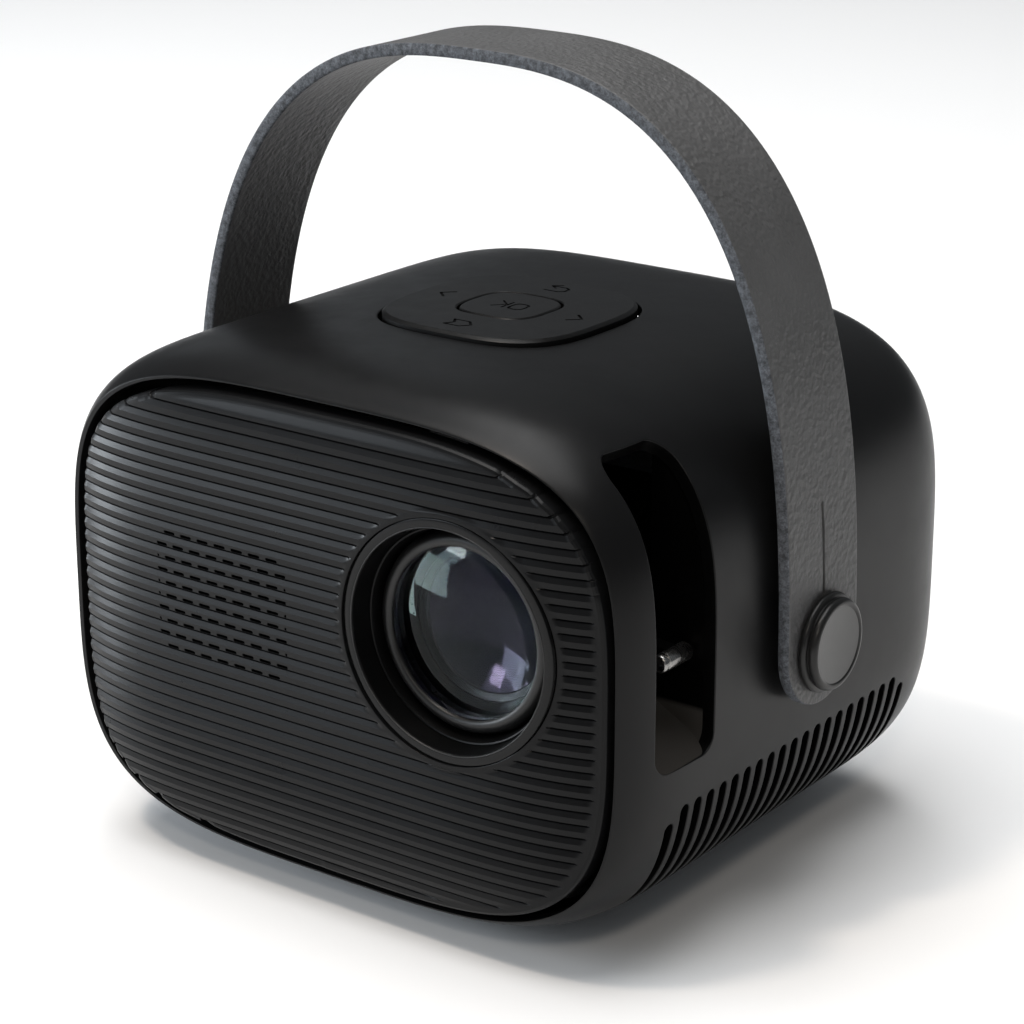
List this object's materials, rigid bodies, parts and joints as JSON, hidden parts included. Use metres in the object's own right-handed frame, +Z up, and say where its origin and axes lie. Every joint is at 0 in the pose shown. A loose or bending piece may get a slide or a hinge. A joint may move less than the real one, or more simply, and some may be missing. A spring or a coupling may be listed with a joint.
{
  "type": "home projector",
  "caption": "Compact home projector with a soft-cornered body, ribbed front, side focus window, leather carrying strap, keypad on top and sockets at the rear.",
  "frame": {"origin": "centre of the bounding box's base, on the surface the feet stand on", "axes": "+X to the viewer's right when looking at the lens side, -Y out through the lens, +Z up"},
  "size_m": [0.157, 0.1274, 0.1608],
  "materials": {
    "shell_black": "fine satin texture",
    "panel_black": "ribbed satin",
    "gloss_black": "smooth semi gloss",
    "pad_black": "smooth matte",
    "leather_dark": "grained leather with raw edges",
    "knob_black": "satin black coating",
    "steel": "plain",
    "brass": "plain",
    "aluminium": "extruded",
    "anodised_black": "black anodised",
    "lens_glass": "coated",
    "clear_plate": "clear",
    "display_glass": "dark polarised",
    "rubber_black": "soft",
    "board_green": "solder mask",
    "chip_black": "moulded",
    "inner_grey": "moulded",
    "paper_cone": "pressed",
    "lamp_white": "ceramic white",
    "sensor_red": "dark infrared window"
  },
  "bodies": {
    "projector": {"main_shell": "shell_black", "vent_screens": "chip_black", "front_panel": "panel_black", "lens_bezel": "gloss_black", "rear_panel": "panel_black", "focus_window_liner": "gloss_black", "lens_guide": "inner_grey", "guide_clip": "steel", "engine_case": "inner_grey", "plate_frame": "chip_black", "front_fresnel": "clear_plate", "display_panel": "display_glass", "rear_fresnel": "clear_plate", "heat_glass": "clear_plate", "light_cone": "lamp_white", "led_module": "lamp_white", "heat_sink": "aluminium", "fan_frame": "chip_black", "speaker_basket": "steel", "speaker_cone": "paper_cone", "speaker_magnet": "chip_black", "speaker_bracket": "inner_grey", "inner_tray": "inner_grey", "base_plate": "shell_black", "base_screws": "steel", "tripod_insert": "brass", "rubber_feet": "rubber_black", "main_board": "board_green", "board_chips": "chip_black", "dc_inlet": "chip_black", "dc_pin": "steel", "hdmi_socket": "steel", "usb_socket": "steel", "audio_socket": "chip_black", "sensor_window": "sensor_red", "power_switch": "chip_black", "key_tray": "inner_grey", "key_board": "board_green", "key_switches": "steel", "strap_posts": "steel", "strap_knobs": "knob_black"},
    "strap_band": {"strap": "leather_dark"},
    "focus_collar": {"focus_ring": "inner_grey", "focus_arm": "chip_black", "focus_pin": "knob_black"},
    "lens_group": {"lens_barrel": "anodised_black", "lens_retainer": "anodised_black", "front_element": "lens_glass", "middle_element": "lens_glass", "rear_element": "lens_glass"},
    "rocker": {"rocker_ring": "inner_grey"},
    "pad": {"nav_pad": "pad_black"},
    "centre_key": {"ok_button": "pad_black"},
    "power_key": {"power_button": "pad_black"},
    "fan": {"fan_rotor": "chip_black"}
  },
  "joints": [
    {"name": "strap_swing", "type": "hinge", "parent": "projector", "child": "strap_band", "pos_m": [0, 0, 0.0543], "axis": [1, 0, 0], "range_deg": [-24, 24]},
    {"name": "focus_turn", "type": "hinge", "parent": "projector", "child": "focus_collar", "pos_m": [0.032, 0, 0.064], "axis": [0, -1, 0], "range_deg": [-18, 44]},
    {"name": "lens_slide", "type": "slide", "parent": "projector", "child": "lens_group", "axis": [0, -1, 0], "range_m": [-0.0006, 0.0015]},
    {"name": "rocker_pitch", "type": "hinge", "parent": "projector", "child": "rocker", "pos_m": [0, 0, 0.1024], "axis": [1, 0, 0], "range_deg": [-1.5, 1.5], "stiffness_Nm_per_rad": 0.6},
    {"name": "pad_roll", "type": "hinge", "parent": "rocker", "child": "pad", "pos_m": [0, 0, 0.1024], "axis": [0, 1, 0], "range_deg": [-1.5, 1.5], "stiffness_Nm_per_rad": 0.6},
    {"name": "centre_press", "type": "slide", "parent": "projector", "child": "centre_key", "axis": [0, 0, -1], "range_m": [0, 0.0005], "stiffness_N_per_m": 600},
    {"name": "power_press", "type": "slide", "parent": "projector", "child": "power_key", "axis": [0, -1, 0], "range_m": [0, 0.0006], "stiffness_N_per_m": 600},
    {"name": "fan_spin", "type": "hinge", "parent": "projector", "child": "fan", "pos_m": [-0.03, 0, 0.062], "axis": [0, 1, 0], "continuous": true}
  ],
  "couplings": [
    {"joint": "focus_turn", "follows": "lens_slide", "rad_per_m": 500}
  ]
}
